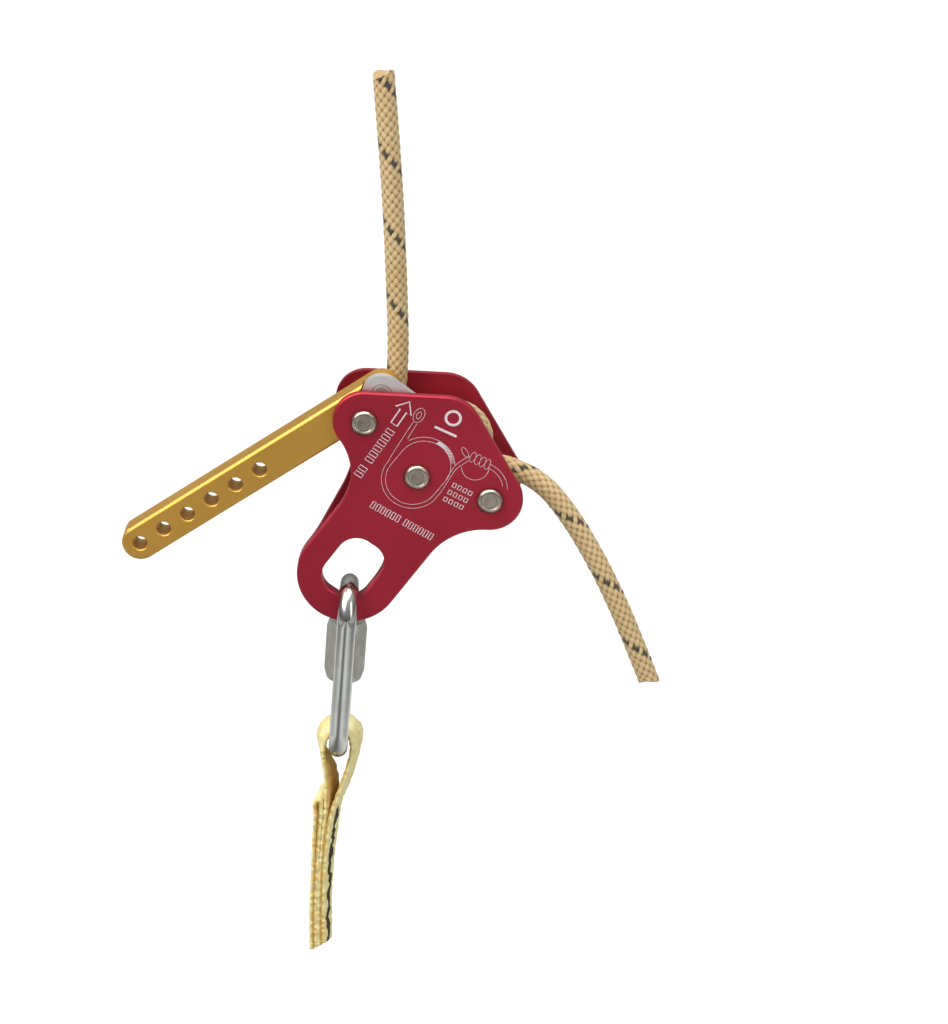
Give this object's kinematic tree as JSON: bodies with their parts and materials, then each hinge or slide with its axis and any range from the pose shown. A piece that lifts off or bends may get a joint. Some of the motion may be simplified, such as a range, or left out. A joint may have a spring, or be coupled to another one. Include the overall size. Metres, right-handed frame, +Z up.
{
  "type": "rope descender",
  "caption": "Climbing rope descender: red side plates round a cam bobbin, long drilled release handle, rope threaded through, with a quick link and a tape sling below.",
  "frame": {"origin": "on the cam axle's axis, midway between the two side plates, where the rope is seated", "axes": "+Z up towards the anchor, +X to the right as the user sees it, with the handle at -X and the rope's tail at +X; -Y towards the user, normal to the front plate"},
  "size_m": [0.1965, 0.0385, 0.3412],
  "materials": {
    "red_anodised": "satin anodised",
    "gold_anodised": "satin anodised",
    "raw_aluminium": "tumbled",
    "rivet_steel": "turned",
    "bronze": "sintered",
    "plated_steel": "bright zinc plated",
    "dull_plated_steel": "matt zinc plated",
    "rope_sheath": "braided",
    "sling_tape": "woven tape"
  },
  "bodies": {
    "frame": {"front_plate": "red_anodised", "back_plate": "red_anodised", "handle_post": "rivet_steel", "cam_axle": "rivet_steel", "tail_rivet": "rivet_steel", "friction_sleeve": "rivet_steel", "front_thrust_washer": "bronze", "rear_thrust_washer": "bronze", "rope": "rope_sheath"},
    "cam": {"cam_bobbin": "raw_aluminium", "cam_arm": "raw_aluminium", "cam_bush": "bronze", "cam_dowels": "rivet_steel", "handle_pin": "rivet_steel", "handle_washer": "bronze"},
    "handle": {"handle_bar": "gold_anodised", "handle_bush": "bronze"},
    "link": {"link_rod": "plated_steel"},
    "nut": {"link_nut": "dull_plated_steel"},
    "sling": {"sling": "sling_tape"}
  },
  "joints": [
    {"name": "cam_pivot", "type": "hinge", "parent": "frame", "child": "cam", "pos_m": [0, 0, 0], "axis": [0, -1, 0], "range_deg": [0, 6]},
    {"name": "handle_pivot", "type": "hinge", "parent": "cam", "child": "handle", "pos_m": [-0.0124, 0, 0.0302], "axis": [0, -1, 0], "range_deg": [0, 6]},
    {"name": "link_swing", "type": "hinge", "parent": "frame", "child": "link", "pos_m": [-0.0251, -0.0102, -0.04415], "axis": [0, -1, 0], "range_deg": [-40, 40]},
    {"name": "nut_travel", "type": "slide", "parent": "link", "child": "nut", "axis": [-0.0819, 0, -0.9966], "range_m": [0, 0.011]},
    {"name": "sling_swing", "type": "hinge", "parent": "link", "child": "sling", "pos_m": [-0.03051, -0.0102, -0.10993], "axis": [0, -1, 0], "range_deg": [-8, 8]}
  ],
  "couplings": [
    {"joint": "handle_pivot", "follows": "cam_pivot", "ratio": 1}
  ]
}
